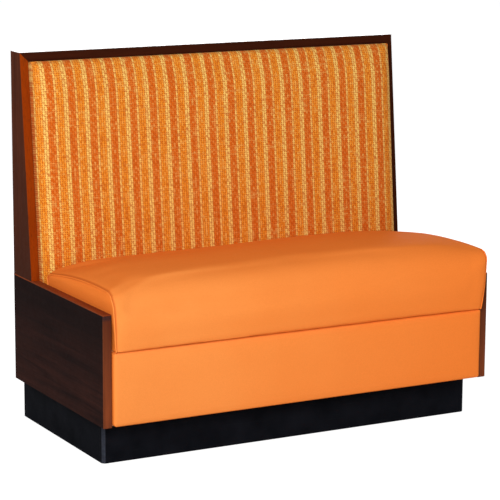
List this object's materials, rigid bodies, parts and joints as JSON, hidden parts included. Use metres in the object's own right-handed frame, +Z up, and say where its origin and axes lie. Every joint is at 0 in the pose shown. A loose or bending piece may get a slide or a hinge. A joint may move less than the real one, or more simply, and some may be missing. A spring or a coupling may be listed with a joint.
{
  "type": "restaurant booth bench",
  "caption": "Upholstered one-sided booth bench: crowned lift-out seat, raked striped back pad, dark wooden end panels and a recessed black plinth.",
  "frame": {"origin": "on the floor, under the middle of the bench's outer box", "axes": "+X to the sitter's left (to the right as seen from the front), +Y from the front towards the back, +Z up"},
  "size_m": [1.22, 0.646, 1.067],
  "materials": {
    "panel_veneer": "very dark brown stained veneer, satin lacquer",
    "edging_wood": "red-brown stained solid edging, satin lacquer",
    "stained_wood": "red-brown stained hardwood, satin lacquer",
    "plinth_black": "black paint, satin",
    "plywood": "raw plywood",
    "softwood": "planed softwood, raw",
    "dowel_wood": "beech dowel, raw",
    "seat_vinyl": "orange upholstery vinyl, fine grain, satin",
    "welt_vinyl": "orange vinyl welt, satin",
    "stripe_fabric": "woven chenille, vertical stripes in yellow, tan, orange and rust",
    "foam": "open-cell upholstery foam",
    "webbing": "elastic woven webbing",
    "lining_cloth": "black non-woven lining",
    "screw_steel": "zinc-plated steel"
  },
  "bodies": {
    "carcass": {"apron_board": "plywood", "apron_cover": "seat_vinyl", "apron_foam": "foam", "apron_screws": "screw_steel", "back_board": "plywood", "back_board_screws": "screw_steel", "back_cover": "stripe_fabric", "back_foam": "foam", "back_stud_left": "softwood", "back_stud_mid_left": "softwood", "back_stud_mid_right": "softwood", "back_stud_right": "softwood", "back_top_rail": "softwood", "box_floor": "plywood", "centre_partition": "plywood", "floor_screws": "screw_steel", "front_support_rail": "softwood", "left_end_panel": "panel_veneer", "left_front_edging": "edging_wood", "left_ledger": "softwood", "left_ledger_screws": "screw_steel", "left_top_edging": "edging_wood", "left_upright": "stained_wood", "left_upright_dowels": "dowel_wood", "outer_back_panel": "panel_veneer", "plinth_corner_blocks": "softwood", "plinth_cross_members": "plywood", "plinth_front_board": "plinth_black", "plinth_left_board": "plinth_black", "plinth_rear_board": "plinth_black", "plinth_right_board": "plinth_black", "rear_support_rail": "softwood", "right_end_panel": "panel_veneer", "right_front_edging": "edging_wood", "right_ledger": "softwood", "right_ledger_screws": "screw_steel", "right_top_edging": "edging_wood", "right_upright": "stained_wood", "right_upright_dowels": "dowel_wood", "top_cap": "stained_wood"},
    "seat_unit": {"seat_cleat_screws": "screw_steel", "seat_corner_braces": "softwood", "seat_cover": "seat_vinyl", "seat_cross_webbing": "webbing", "seat_deck_cloth": "lining_cloth", "seat_dust_cloth": "lining_cloth", "seat_foam": "foam", "seat_front_rail": "softwood", "seat_inner_rail_left": "softwood", "seat_inner_rail_right": "softwood", "seat_left_boxing": "seat_vinyl", "seat_left_rail": "softwood", "seat_left_welt": "welt_vinyl", "seat_rear_rail": "softwood", "seat_right_boxing": "seat_vinyl", "seat_right_rail": "softwood", "seat_right_welt": "welt_vinyl", "seat_stop_cleat": "softwood", "seat_webbing": "webbing"}
  },
  "joints": [
    {"name": "seat_lift", "type": "slide", "parent": "carcass", "child": "seat_unit", "axis": [0, 0, 1], "range_m": [0, 0.16]}
  ]
}
